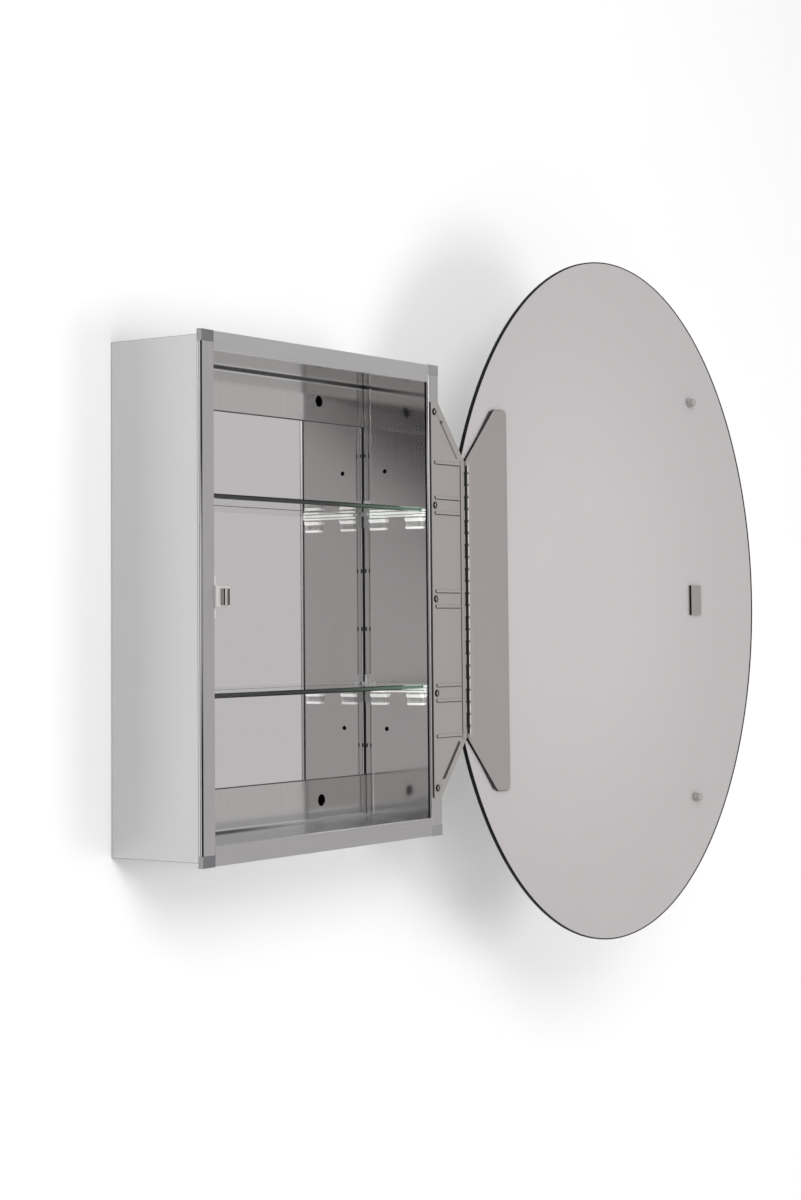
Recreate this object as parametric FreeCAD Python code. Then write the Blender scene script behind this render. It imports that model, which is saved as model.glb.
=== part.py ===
import FreeCAD, Part
import math
import os

# A wall-hung bathroom cabinet with mirrored sides, two glass shelves and an oval mirror door.
# Lengths are millimetres and angles are degrees. X runs to the right, Y into the wall, Z up.
# The origin lies on the wall plane, at the middle of the four wall screws.

# Overall sizes of the front frame and the box
frame_width = 406.4
frame_height = 508.0
cabinet_depth = 113.0
sheet = 1.0

# Frame rails: a grooved bar with a pocket along its back
rail_face = 19.0
frame_depth = 5.1
rail_skin = 2.4
rail_rib = 4.0
rail_arris = 0.4
groove_start = 2.0
groove_width = 1.4
groove_depth = 1.2
rail_lip_inset = 0.4

# Corner caps, each with a plug in the end of a stile
cap_height = 11.0
cap_proud = 0.3
cap_arris = 0.5
cap_plug_length = 14.0
cap_plug_clearance = 0.15

# Mirrored side panels and what carries them
side_mirror_end_setback = 4.5
side_mirror_glass = 4.0
side_mirror_inset = 0.4
side_mirror_arris = 0.5
side_tape = 0.8
side_tape_margin = 1.0
wall_lip = 12.0
cover_gap = 0.2

# Back: two channel rails on the wall, a mirror behind their edges and a backing sheet
band_setback = 86.0
band_height = 45.0
wall_screw_spacing_x = 202.0
wall_screw_drop = 22.0
wall_screw_hole = 5.5
driver_hole = 12.7
back_mirror_glass = 3.0
back_mirror_edge_gap = 3.2
back_mirror_lap = 10.0
backing_flange = 12.0
backing_ledge = 2.4

# Holes in the side walls for fixing between studs
stud_hole = 5.0
stud_hole_setback = 58.5
stud_hole_height = 140.5

# Perforated corner strips
strip_width = 9.0
strip_thickness = 1.2
strip_end_gap = 2.0
strip_groove = 1.0
strip_groove_depth = 0.4
strip_slot_width = 1.9
strip_slot_height = 4.4
strip_slot_spacing = 5.0
level_pitch = 63.5
level_count = 6

# Glass shelves
shelf_levels = (2, -1)
shelf_glass = 4.8
shelf_side_gap = 3.2
shelf_front_setback = 6.0
shelf_depth = 78.0
shelf_drop = 1.2
shelf_edge_arris = 1.2
shelf_corner_round = 4.0

# Clear clips on the side walls, under the glass
clip_length = 25.0
clip_front_setback = 7.0
clip_rear_setback = 51.5
clip_height = 15.2
clip_ledge = 9.0
clip_ledge_thickness = 5.0
clip_plate = 2.2
clip_lip = 4.5
clip_lip_thickness = 2.2
clip_arris = 0.6
clip_tab_length = 8.0
clip_tab_height = 3.0
clip_tab_past = 1.5
clip_tab_clearance = 0.1

# Clear clips on the corner strips, round the rear corners of the glass
corner_clip_width = 8.0
corner_clip_plate = 1.4
corner_clip_below = 15.0
corner_clip_above = 10.0
corner_clip_finger = 5.0
corner_clip_finger_thickness = 2.0
corner_clip_clearance = 0.2
corner_clip_tab_clearance = 0.1
corner_clip_tab_length = 1.0

# Magnetic catch on the left wall
catch_width = 22.0
catch_height = 21.0
catch_back_setback = 14.0
catch_proud = 2.0
catch_arris = 1.2
catch_ear_height = 40.0
catch_ear_thickness = 3.0
catch_ear_root = 5.0
catch_ear_root_height = 2.5
catch_ear_setback = 1.0
catch_screw_spacing = 33.0
catch_screw_shank = 2.6
catch_screw_length = 7.0
catch_screw_head = 5.2
catch_screw_head_height = 1.6
catch_screw_clearance = 0.1
pole_height = 15.8
pole_thickness = 2.2
pole_pitch = 6.6
pole_depth = 15.0
pole_inset = 8.1
magnet_recess = 2.4
magnet_clearance = 0.1
strike_clearance = 0.3

# Piano hinge
hinge_out = 49.4
knuckle_count = 23
knuckle_gap = 0.3
knuckle_outer = 4.4
leaf_thickness = 1.0
leaf_width = 9.6
leaf_relief = 0.4
pin_diameter = 2.4
pin_clearance = 0.05

# Fixed bracket, a plate with raised beads
bracket_thickness = 1.5
bracket_end_gap = 40.0
bracket_slant_height = 61.6
bracket_inner_gap = 1.4
bracket_end_width = 14.5
bracket_round = 3.0
bracket_axis_gap = 1.2
bead_width = 4.3
bead_top_width = 2.3
bead_rise = 1.2
bead_groove_step = 0.8
bead_side = 8.25
bead_end_inset = 4.4
bead_start = 8.0
bead_leaf_gap = 0.6
slant_bead_inset = 9.0
slant_bead_ends_share = (0.14, 0.84)

# Bracket screws
screw_end_inset = 10.8
screw_count = 5
screw_setback = 7.4
screw_shank = 3.9
screw_length = 9.5
screw_head = 7.6
screw_head_height = 2.0
screw_top_share = 0.55
screw_clearance = 0.15

# Door plate, a shallow pan on the back of the door mirror
plate_end_step = 1.0
plate_reach = 69.0
plate_end_width = 25.0
plate_axis_gap = 1.5
plate_end_rise = 1.2
plate_depth = 3.6
plate_skin = 1.5
plate_round = 5.0
plate_edge_arris = 1.0
pad_clearance = 0.3

# Oval door mirror
oval_past_hinge = 29.4
oval_past_frame = 145.0
oval_glass = 4.8
oval_arris = 0.8

# What the door carries at its free edge
bumper_side_inset = 42.8
bumper_end_inset = 12.0
bumper_base = 11.0
bumper_tip = 8.6
bumper_arris = 1.0
bumper_clearance = 0.3
strike_offset = 8.4
strike_width = 20.4
strike_height = 36.4
strike_steel = 2.6
strike_tape = 0.8
strike_arris = 0.4
strike_tape_margin = 1.0

# How far the door stands open
door_open_angle = 170.0

# One overrun serves every cut
overrun = 2.0
aligned_share = 0.999

# Planes and half sizes that several pieces share
front = -cabinet_depth
half_width = frame_width / 2
half_height = frame_height / 2
inside_x = half_width - rail_face
inside_z = half_height - rail_face
body_front = front + frame_depth
side_mirror_outer = half_width - side_mirror_inset
side_mirror_inner = side_mirror_outer - side_mirror_glass
wall_lip_x = side_mirror_inner - side_tape
cover_top = half_height - side_mirror_end_setback
cover_under = cover_top - sheet
band_front = front + band_setback
band_edge = inside_z - band_height
wall_screw_height = inside_z - wall_screw_drop
back_mirror_front = band_front + sheet
back_mirror_back = back_mirror_front + back_mirror_glass
back_mirror_half_width = inside_x - back_mirror_edge_gap
back_mirror_half_height = band_edge + back_mirror_lap
strip_front = band_front - strip_width
strip_middle = band_front - strip_width / 2
strip_inside_x = inside_x - strip_thickness
hinge_x = half_width + hinge_out
barrel_radius = knuckle_outer / 2
hinge_y = front - bracket_thickness - barrel_radius
bore_radius = pin_diameter / 2 + pin_clearance
bracket_inner_x = inside_x + bracket_inner_gap
bracket_outer_x = hinge_x - bracket_axis_gap
bracket_front = front - bracket_thickness
bracket_half = half_height - bracket_end_gap
hinge_half = bracket_half - bracket_slant_height
screw_x = bracket_inner_x + screw_setback
screw_pitch = (bracket_half - screw_end_inset) * 2 / (screw_count - 1)
screw_heights = [(index - (screw_count - 1) / 2) * screw_pitch for index in range(screw_count)]
plate_inner = hinge_y - barrel_radius
oval_back = plate_inner - plate_depth
oval_half_width = hinge_x + oval_past_hinge
oval_half_height = half_height + oval_past_frame
bumper_x = bumper_side_inset - half_width
bumper_z = half_height - bumper_end_inset
strike_face = oval_back + strike_tape + strike_steel
pole_tip = strike_face + strike_clearance
catch_front = front - catch_proud
catch_back = front + catch_back_setback
pole_middle_x = -inside_x + pole_inset + pole_pitch / 2
strike_x = pole_middle_x + strike_offset
level_heights = [(index - (level_count - 1) / 2) * level_pitch for index in range(level_count)]
shelf_heights = [(level - 1 / 2) * level_pitch for level in shelf_levels]


def vec(x, y, z):
    return FreeCAD.Vector(x, y, z)


def place(axis, along, u, v):
    """Point at a distance along one axis, with its other two coordinates in XYZ order."""
    if axis == "x":
        return vec(along, u, v)
    if axis == "y":
        return vec(u, along, v)
    return vec(u, v, along)


def outline_face(axis, points, along):
    corners = [place(axis, along, u, v) for u, v in points]
    return Part.Face(Part.makePolygon(corners + corners[:1]))


def prism(axis, points, start, end):
    """Solid with a straight-sided outline, run along one axis."""
    return outline_face(axis, points, start).extrude(place(axis, end - start, 0, 0))


def block(xs, ys, zs):
    (x0, x1), (y0, y1), (z0, z1) = sorted(xs), sorted(ys), sorted(zs)
    return Part.makeBox(x1 - x0, y1 - y0, z1 - z0, vec(x0, y0, z0))


def rod(axis, radius, start, end, u, v):
    """Round bar along one axis, at the given place on the other two."""
    return Part.makeCylinder(radius, end - start, place(axis, start, u, v), place(axis, 1, 0, 0))


def folded(path, thickness):
    """Outline of a folded sheet: an open path and the same path moved to its left, mitred."""
    normals = []
    for (u0, v0), (u1, v1) in zip(path, path[1:]):
        length = math.hypot(u1 - u0, v1 - v0)
        normals.append(((v0 - v1) / length, (u1 - u0) / length))
    moved = []
    for index, (u, v) in enumerate(path):
        before = normals[max(index - 1, 0)]
        after = normals[min(index, len(normals) - 1)]
        reach = thickness / (1 + before[0] * after[0] + before[1] * after[1])
        moved.append((u + (before[0] + after[0]) * reach, v + (before[1] + after[1]) * reach))
    return path + moved[::-1]


def edges_along(shape, direction):
    """Straight edges that run along a direction."""
    found = []
    for edge in shape.Edges:
        straight = edge.Curve.TypeId == "Part::GeomLine"
        if straight and abs(edge.Curve.Direction.dot(direction)) > aligned_share:
            found.append(edge)
    return found


def edges_on(shape, axis, along):
    """Edges that lie whole in one plane square to an axis."""
    index = "xyz".index(axis)
    close = overrun * (1 - aligned_share)
    found = []
    for edge in shape.Edges:
        box = edge.BoundBox
        low = (box.XMin, box.YMin, box.ZMin)[index]
        high = (box.XMax, box.YMax, box.ZMax)[index]
        if abs(low - along) < close and abs(high - along) < close:
            found.append(edge)
    return found


def flipped(shape, axis):
    """Mirror copy across the plane through the origin, square to an axis."""
    return shape.mirror(vec(0, 0, 0), place(axis, 1, 0, 0))


def write(name, *solids):
    """One file for each named piece, or for a group of like pieces."""
    shape = solids[0] if len(solids) == 1 else Part.makeCompound(list(solids))
    shape.exportStep("parts/" + name + ".step")


def write_pair(name, right):
    write(name + "_right", right)
    write(name + "_left", flipped(right, "x"))


def write_top_bottom(name, top):
    write(name + "_top", top)
    write(name + "_bottom", flipped(top, "z"))


def rail_section():
    """Section of a frame rail: distance in from its outer edge, and depth behind its face."""
    groove_end = groove_start + groove_width
    return [
        (0, rail_arris),
        (rail_arris, 0),
        (rail_face - rail_arris, 0),
        (rail_face, rail_arris),
        (rail_face, frame_depth),
        (rail_face - rail_rib, frame_depth),
        (rail_face - rail_rib, rail_skin),
        (rail_rib, rail_skin),
        (rail_rib, frame_depth),
        (rail_lip_inset, frame_depth),
        (rail_lip_inset, groove_end),
        (groove_depth, groove_end),
        (groove_depth, groove_start),
        (0, groove_start),
    ]


def frame_stile():
    """Right upright of the frame, between its two corner caps."""
    end = half_height - cap_height
    section = [(half_width - inward, front + depth) for inward, depth in rail_section()]
    return prism("z", section, -end, end)


def screw_holes(start, end):
    """Bars that cut the bracket's screw holes between two depths."""
    radius = screw_shank / 2 + screw_clearance
    return [rod("y", radius, start, end, screw_x, height) for height in screw_heights]


def frame_rail():
    """Top rail of the frame, between the stiles."""
    section = [(front + depth, half_height - inward) for inward, depth in rail_section()]
    return prism("x", section, -inside_x, inside_x)


def corner_cap():
    """Top right corner cap, a rounded block with a plug for the stile's pocket."""
    low = half_height - cap_height
    head_ys = (front - cap_proud, body_front)
    head = block((inside_x, half_width + cap_proud), head_ys, (low, half_height + cap_proud))
    head = head.makeChamfer(cap_arris, edges_on(head, "y", front - cap_proud))
    plug_in = rail_rib + cap_plug_clearance
    plug_xs = (half_width - rail_face + plug_in, half_width - plug_in)
    plug_ys = (front + rail_skin + cap_plug_clearance, body_front)
    plug = block(plug_xs, plug_ys, (low - cap_plug_length, low))
    return head.fuse(plug).removeSplitter()


def side_wall():
    """Right wall: a sheet folded out at the frame and at the wall, with lips for the side mirror."""
    path = [
        (wall_lip_x, -wall_lip),
        (wall_lip_x, 0),
        (inside_x, 0),
        (inside_x, body_front),
        (wall_lip_x, body_front),
        (wall_lip_x, body_front + wall_lip),
    ]
    wall = prism("z", folded(path, sheet), -cover_under, cover_under)
    cuts = []
    for height in (-stud_hole_height, stud_hole_height):
        cuts.append(wall_hole(stud_hole / 2, front + stud_hole_setback, height))
    for height in shelf_heights:
        for middle in clip_middles():
            cuts.append(clip_tab(height, middle, clip_tab_clearance))
    return wall.cut(cuts)


def wall_hole(radius, y, z):
    """Bar that cuts a round hole in the right wall's web."""
    return rod("x", radius, inside_x - sheet, inside_x + sheet + sheet, y, z)


def ceiling_wall():
    """Top of the box: a sheet between the side walls, folded up at the frame and at the wall."""
    path = [(body_front, cover_under), (body_front, inside_z), (0, inside_z), (0, cover_under)]
    return prism("x", folded(path, sheet), -inside_x, inside_x)


def cover():
    """Flat cover over the top of the box, between the side mirrors."""
    reach = side_mirror_inner - cover_gap
    return block((-reach, reach), (body_front, 0), (cover_under, cover_top))


def side_mirror():
    """Right side panel: mirror glass with ground edges."""
    panel = block((side_mirror_inner, side_mirror_outer), (body_front, 0), (-cover_top, cover_top))
    return panel.makeChamfer(side_mirror_arris, edges_on(panel, "x", side_mirror_outer))


def side_tapes():
    """Two tape strips between the right wall's lips and the side mirror."""
    xs = (wall_lip_x, side_mirror_inner)
    reach = cover_under - side_tape_margin
    strips = []
    for edge in (body_front, -wall_lip):
        ys = (edge + side_tape_margin, edge + wall_lip - side_tape_margin)
        strips.append(block(xs, ys, (-reach, reach)))
    return strips


def back_rail():
    """Top channel: its front band shows inside the cabinet, its rear lip lies on the wall."""
    path = [(0, band_edge), (0, inside_z), (band_front, inside_z), (band_front, band_edge)]
    rail = prism("x", folded(path, sheet), -inside_x, inside_x)
    cuts = []
    for x in (-wall_screw_spacing_x / 2, wall_screw_spacing_x / 2):
        for y, diameter in ((band_front, driver_hole), (0, wall_screw_hole)):
            cuts.append(rod("y", diameter / 2, y - overrun, y + overrun, x, wall_screw_height))
    return rail.cut(cuts)


def back_mirror():
    half_w, half_h = back_mirror_half_width, back_mirror_half_height
    return block((-half_w, half_w), (back_mirror_front, back_mirror_back), (-half_h, half_h))


def backing_sheet():
    """Sheet behind the back mirror, folded back along the side walls, with a ledge under the glass."""
    flange_end = back_mirror_back + backing_flange
    path = [
        (-inside_x, flange_end),
        (-inside_x, back_mirror_back),
        (inside_x, back_mirror_back),
        (inside_x, flange_end),
    ]
    reach = back_mirror_half_height + sheet
    tray = prism("z", folded(path, sheet), -reach, reach)
    ledge_ys = (back_mirror_back - backing_ledge, back_mirror_back + sheet)
    ledge = block((-back_mirror_half_width, back_mirror_half_width), ledge_ys, (-reach, sheet - reach))
    return tray.fuse(ledge).removeSplitter()


def shelf_strip():
    """Right corner strip with two grooves, and a slot in each groove at every shelf level."""
    section = [(inside_x, strip_front), (strip_inside_x, strip_front)]
    for y in strip_slot_columns():
        low, high = y - strip_groove / 2, y + strip_groove / 2
        floor = strip_inside_x + strip_groove_depth
        section += [(strip_inside_x, low), (floor, low), (floor, high), (strip_inside_x, high)]
    section += [(strip_inside_x, band_front), (inside_x, band_front)]
    reach = inside_z - strip_end_gap
    strip = prism("z", section, -reach, reach)
    cuts = []
    for height in level_heights:
        cuts += strip_slots(height, 0, inside_x)
    return strip.cut(cuts)


def strip_slot_columns():
    return (strip_middle - strip_slot_spacing / 2, strip_middle + strip_slot_spacing / 2)


def strip_slots(level, inset, end):
    """Bars in the right strip's two slots at one level, drawn in by an inset, as deep as an end."""
    half_y = strip_slot_width / 2 - inset
    half_z = strip_slot_height / 2 - inset
    bars = []
    for y in strip_slot_columns():
        bars.append(block((strip_inside_x, end), (y - half_y, y + half_y), (level - half_z, level + half_z)))
    return bars


def shelf(level):
    """Glass shelf with rounded front corners and a ground edge along its front."""
    reach = inside_x - shelf_side_gap
    start = front + shelf_front_setback
    under = level - shelf_drop
    glass = block((-reach, reach), (start, start + shelf_depth), (under, under + shelf_glass))
    front_half = start + shelf_depth / 2
    upright = [edge for edge in edges_along(glass, vec(0, 0, 1)) if edge.BoundBox.YMax < front_half]
    glass = glass.makeFillet(shelf_corner_round, upright)
    rim = [edge for edge in edges_along(glass, vec(1, 0, 0)) if edge.BoundBox.YMax < front_half]
    return glass.makeChamfer(shelf_edge_arris, rim)


def clip_middles():
    """Depths of the two clips on a wall, at their tabs."""
    return [front + setback + clip_length / 2 for setback in (clip_front_setback, clip_rear_setback)]


def clip_tab(level, middle, gap):
    """Tab that holds a clip in the right wall, or with a gap round it, the bar that cuts its slot."""
    half_y = clip_tab_length / 2 + gap
    half_z = clip_tab_height / 2 + gap
    height = level - shelf_drop - clip_ledge_thickness / 2
    xs = (inside_x, inside_x + sheet + clip_tab_past)
    return block(xs, (middle - half_y, middle + half_y), (height - half_z, height + half_z))


def wall_clip(level, middle):
    """Clear clip on the right wall: a ledge under the glass, a thin plate, a lower lip and a tab."""
    top = level - shelf_drop
    low = top - clip_height
    section = [
        (inside_x, top),
        (inside_x - clip_ledge, top),
        (inside_x - clip_ledge, top - clip_ledge_thickness),
        (inside_x - clip_plate, top - clip_ledge_thickness),
        (inside_x - clip_plate, low + clip_lip_thickness),
        (inside_x - clip_lip, low + clip_lip_thickness),
        (inside_x - clip_lip, low),
        (inside_x, low),
    ]
    clip = prism("y", section, middle - clip_length / 2, middle + clip_length / 2)
    clear_of_plate = inside_x - clip_plate - clip_arris
    outer = [edge for edge in edges_along(clip, vec(0, 1, 0)) if edge.BoundBox.XMax < clear_of_plate]
    return clip.makeChamfer(clip_arris, outer).fuse(clip_tab(level, middle, 0))


def shelf_clips(level):
    """Four clips under one shelf, two on each wall."""
    right = [wall_clip(level, middle) for middle in clip_middles()]
    return right + [flipped(clip, "x") for clip in right]


def corner_clip(level):
    """Clear clip on the right corner strip: a plate, fingers under and over the glass, two tabs."""
    under = level - shelf_drop
    over = under + shelf_glass + corner_clip_clearance
    plate_x = strip_inside_x - corner_clip_plate
    finger_x = plate_x - corner_clip_finger
    section = [
        (strip_inside_x, under - corner_clip_below),
        (plate_x, under - corner_clip_below),
        (plate_x, under - corner_clip_finger_thickness),
        (finger_x, under - corner_clip_finger_thickness),
        (finger_x, under),
        (plate_x, under),
        (plate_x, over),
        (finger_x, over),
        (finger_x, over + corner_clip_finger_thickness),
        (plate_x, over + corner_clip_finger_thickness),
        (plate_x, over + corner_clip_above),
        (strip_inside_x, over + corner_clip_above),
    ]
    half = corner_clip_width / 2
    clip = prism("y", section, strip_middle - half, strip_middle + half)
    tab_end = strip_inside_x + corner_clip_tab_length
    tabs = strip_slots(level, corner_clip_tab_clearance, tab_end)
    return clip.fuse(tabs).removeSplitter()


def catch_housing():
    """Moulded housing on the left wall: a thickened screw ear above and below, a pocket for the magnet."""
    wall_x = -inside_x
    half = catch_height / 2
    body = block((wall_x, wall_x + catch_width), (catch_front, catch_back), (-half, half))
    soft = [edge for edge in body.Edges if edge.BoundBox.XMin > wall_x + overrun]
    soft += [edge for edge in edges_on(body, "y", catch_front) if edge.BoundBox.XMax > wall_x + overrun]
    body = body.makeChamfer(catch_arris, unique_edges(soft))
    ear_half = catch_ear_height / 2
    upper = [
        (wall_x, ear_half),
        (wall_x + catch_ear_thickness, ear_half),
        (wall_x + catch_ear_thickness, half + catch_ear_root_height),
        (wall_x + catch_ear_root, half),
    ]
    ears = prism("y", upper + [(x, -z) for x, z in upper[::-1]], front + catch_ear_setback, catch_back)
    gap = magnet_clearance
    pocket_half_x = (pole_pitch + pole_thickness) / 2 + gap
    pocket_half_z = pole_height / 2 + gap
    pocket_xs = (pole_middle_x - pocket_half_x, pole_middle_x + pocket_half_x)
    pocket = block(pocket_xs, (pole_tip, pole_tip + pole_depth), (-pocket_half_z, pocket_half_z))
    return body.fuse(ears).removeSplitter().cut([pocket] + catch_screw_holes())


def unique_edges(edges):
    kept = []
    for edge in edges:
        if not any(edge.isSame(other) for other in kept):
            kept.append(edge)
    return kept


def catch_screw_heights():
    return (-catch_screw_spacing / 2, catch_screw_spacing / 2)


def catch_screw_y():
    return (front + catch_ear_setback + catch_back) / 2


def catch_poles():
    """Two steel plates whose edges meet the strike plate."""
    plates = []
    for side in (-pole_pitch / 2, pole_pitch / 2):
        middle = pole_middle_x + side
        xs = (middle - pole_thickness / 2, middle + pole_thickness / 2)
        plates.append(block(xs, (pole_tip, pole_tip + pole_depth), (-pole_height / 2, pole_height / 2)))
    return plates


def catch_magnet():
    half = (pole_pitch - pole_thickness) / 2
    ys = (pole_tip + magnet_recess, pole_tip + pole_depth)
    return block((pole_middle_x - half, pole_middle_x + half), ys, (-pole_height / 2, pole_height / 2))


def screw(head, head_height, shank, length):
    """Screw along -Z with its head's flat underside at the origin."""
    cap = Part.makeCone(head / 2, head / 2 * screw_top_share, head_height)
    return cap.fuse(Part.makeCylinder(shank / 2, length, vec(0, 0, -length)))


def catch_screws():
    """Two screws through the catch's ears into the left wall."""
    screws = []
    for height in catch_screw_heights():
        piece = screw(catch_screw_head, catch_screw_head_height, catch_screw_shank, catch_screw_length)
        piece.rotate(vec(0, 0, 0), vec(0, 1, 0), 90)
        piece.translate(vec(-inside_x + catch_ear_thickness, catch_screw_y(), height))
        screws.append(piece)
    return screws


def catch_screw_holes():
    """Bars that cut the catch's screw holes, through its ears and the left wall."""
    radius = catch_screw_shank / 2 + catch_screw_clearance
    start = -inside_x - sheet - overrun
    end = overrun + catch_ear_thickness - inside_x
    return [rod("x", radius, start, end, catch_screw_y(), height) for height in catch_screw_heights()]


def bead(line, half, top_half, base, end_shapes):
    """Ridge with sloped sides along a line of (x, z) ends, raised forward from a plane."""
    (x0, z0), (x1, z1) = line
    length = math.hypot(x1 - x0, z1 - z0)
    top = base - bead_rise
    section = [(base, -half), (base, half), (top, top_half), (top, -top_half)]
    ridge = prism("x", section, 0, length)
    if end_shapes == "round":
        cone = Part.makeCone(half, top_half, bead_rise, vec(0, base, 0), vec(0, -1, 0))
        ridge = ridge.fuse([cone, cone.translated(vec(length, 0, 0))]).removeSplitter()
    ridge.rotate(vec(0, 0, 0), vec(0, 1, 0), math.degrees(math.atan2(z0 - z1, x1 - x0)))
    ridge.translate(vec(x0, 0, z0))
    return ridge


def bead_lines():
    """Ends of the bracket's raised beads, as (x, z) pairs: beside each screw, and along each slant."""
    start = bracket_inner_x + bead_start
    end = hinge_x - leaf_width - bead_leaf_gap - bead_width / 2
    heights = [bead_end_inset - hinge_half, hinge_half - bead_end_inset]
    for height in screw_heights[1:-1]:
        heights += [height - bead_side, height + bead_side]
    lines = [((start, height), (end, height)) for height in heights]
    (x0, z0), (x1, z1) = bracket_slant()
    length = math.hypot(x1 - x0, z1 - z0)
    inward = ((z1 - z0) / length * slant_bead_inset, (x0 - x1) / length * slant_bead_inset)
    ends = []
    for share in slant_bead_ends_share:
        ends.append((x0 + (x1 - x0) * share + inward[0], z0 + (z1 - z0) * share + inward[1]))
    lines.append((ends[0], ends[1]))
    lines.append(((ends[0][0], -ends[0][1]), (ends[1][0], -ends[1][1])))
    return lines


def bracket_slant():
    """Ends of the bracket's upper slanted edge, from its long side to the hinge."""
    top = (bracket_inner_x + bracket_end_width, bracket_half)
    return top, (bracket_outer_x, hinge_half)


def hinge_bracket():
    """Fixed plate on the right stile: a trapezoid with beads pressed up from behind."""
    top, outer = bracket_slant()
    upper = [(bracket_inner_x, bracket_half), top, outer]
    outline = upper + [(x, -z) for x, z in upper[::-1]]
    plate = prism("y", outline, bracket_front, front)
    plate = plate.makeFillet(bracket_round, edges_along(plate, vec(0, 1, 0)))
    half, top_half = bead_width / 2, bead_top_width / 2
    ridges = []
    grooves = []
    for line in bead_lines():
        ridges.append(bead(line, half, top_half, bracket_front, "round"))
        grooves.append(bead(line, half - bead_groove_step, top_half - bead_groove_step, front, "square"))
    holes = screw_holes(bracket_front - overrun, front + overrun)
    return plate.fuse(ridges).cut(grooves + holes).removeSplitter()


def bracket_screws():
    """Five screws through the bracket, the stile and the folded edge of the right wall."""
    screws = []
    for height in screw_heights:
        piece = screw(screw_head, screw_head_height, screw_shank, screw_length)
        piece.rotate(vec(0, 0, 0), vec(1, 0, 0), 90)
        piece.translate(vec(screw_x, bracket_front, height))
        screws.append(piece)
    return screws


def hinge_leaf(first_knuckle):
    """Fixed leaf of the piano hinge: a strip whose edge curls round the pin in every other knuckle."""
    back = hinge_y + barrel_radius
    ys = (back - leaf_thickness, back)
    strip_end = hinge_x - barrel_radius - leaf_relief
    leaf = block((hinge_x - leaf_width, strip_end), ys, (-hinge_half, hinge_half))
    pitch = hinge_half * 2 / knuckle_count
    curls = []
    bores = []
    for index in range(first_knuckle, knuckle_count, 2):
        low = index * pitch - hinge_half + knuckle_gap / 2
        high = low + pitch - knuckle_gap
        curls.append(rod("z", barrel_radius, low, high, hinge_x, hinge_y))
        curls.append(block((strip_end, hinge_x), ys, (low, high)))
        bores.append(rod("z", bore_radius, low - overrun, high + overrun, hinge_x, hinge_y))
    return leaf.fuse(curls).cut(bores).removeSplitter()


def door_leaf():
    """Moving leaf, as it lies with the door shut: the fixed leaf's twin, folded over to face it."""
    return hinge_leaf(1).mirror(vec(0, hinge_y, 0), vec(0, 1, 0))


def hinge_pin():
    return rod("z", pin_diameter / 2, -hinge_half, hinge_half, hinge_x, hinge_y)


def plate_outline():
    """Outline of the door plate with the door shut: long side away from the hinge, slanted ends."""
    far = hinge_x - plate_reach
    near = hinge_x - plate_axis_gap
    half = bracket_half - plate_end_step
    upper = [(far, half), (far + plate_end_width, half), (near, hinge_half + plate_end_rise)]
    return upper + [(x, -z) for x, z in upper[::-1]]


def door_plate():
    """Shallow pan: rounded corners, a sloped inner edge, hollow towards the mirror."""
    pan = prism("y", plate_outline(), oval_back, plate_inner)
    pan = pan.makeFillet(plate_round, edges_along(pan, vec(0, 1, 0)))
    hollow = pan_floor(pan, plate_skin).extrude(vec(0, plate_depth - plate_skin, 0))
    pan = pan.makeChamfer(plate_edge_arris, edges_on(pan, "y", plate_inner))
    return pan.cut(hollow)


def pan_floor(pan, inset):
    """Face of the pan's mirror side, drawn in by an inset."""
    facing = min(pan.Faces, key=lambda face: face.BoundBox.YMax)
    return Part.Face(facing.OuterWire.makeOffset2D(-inset))


def plate_pad():
    """Bonding pad that fills the pan's hollow."""
    pan = prism("y", plate_outline(), oval_back, plate_inner)
    pan = pan.makeFillet(plate_round, edges_along(pan, vec(0, 1, 0)))
    return pan_floor(pan, plate_skin + pad_clearance).extrude(vec(0, plate_depth - plate_skin, 0))


def door_mirror():
    """Oval mirror glass with both rims ground off, as it lies with the door shut."""
    rim = Part.Ellipse(vec(0, oval_half_height, 0), vec(oval_half_width, 0, 0), vec(0, 0, 0)).toShape()
    glass = Part.Face(Part.Wire([rim])).extrude(vec(0, 0, oval_glass))
    glass = glass.makeChamfer(oval_arris, edges_on(glass, "z", 0) + edges_on(glass, "z", oval_glass))
    glass.rotate(vec(0, 0, 0), vec(1, 0, 0), 90)
    glass.translate(vec(0, oval_back, 0))
    return glass


def bumpers():
    """Two clear tapered buffers that meet the frame's top and bottom rails."""
    length = front - oval_back - bumper_clearance
    cone = Part.makeCone(bumper_base / 2, bumper_tip / 2, length, vec(0, 0, 0), vec(0, 1, 0))
    cone = cone.makeChamfer(bumper_arris, edges_on(cone, "y", length))
    pair = []
    for height in (-bumper_z, bumper_z):
        bumper = cone.copy()
        bumper.translate(vec(bumper_x, oval_back, height))
        pair.append(bumper)
    return pair


def strike_plate():
    """Steel plate that the magnet holds."""
    xs = (strike_x - strike_width / 2, strike_x + strike_width / 2)
    plate = block(xs, (oval_back + strike_tape, strike_face), (-strike_height / 2, strike_height / 2))
    return plate.makeChamfer(strike_arris, edges_on(plate, "y", strike_face))


def strike_pad():
    half_w = strike_width / 2 - strike_tape_margin
    half_h = strike_height / 2 - strike_tape_margin
    ys = (oval_back, oval_back + strike_tape)
    return block((strike_x - half_w, strike_x + half_w), ys, (-half_h, half_h))


def opened(shape):
    """A door piece turned about the hinge pin to where the door stands."""
    turned = shape.copy()
    turned.rotate(vec(hinge_x, hinge_y, 0), vec(0, 0, 1), door_open_angle)
    return turned


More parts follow.
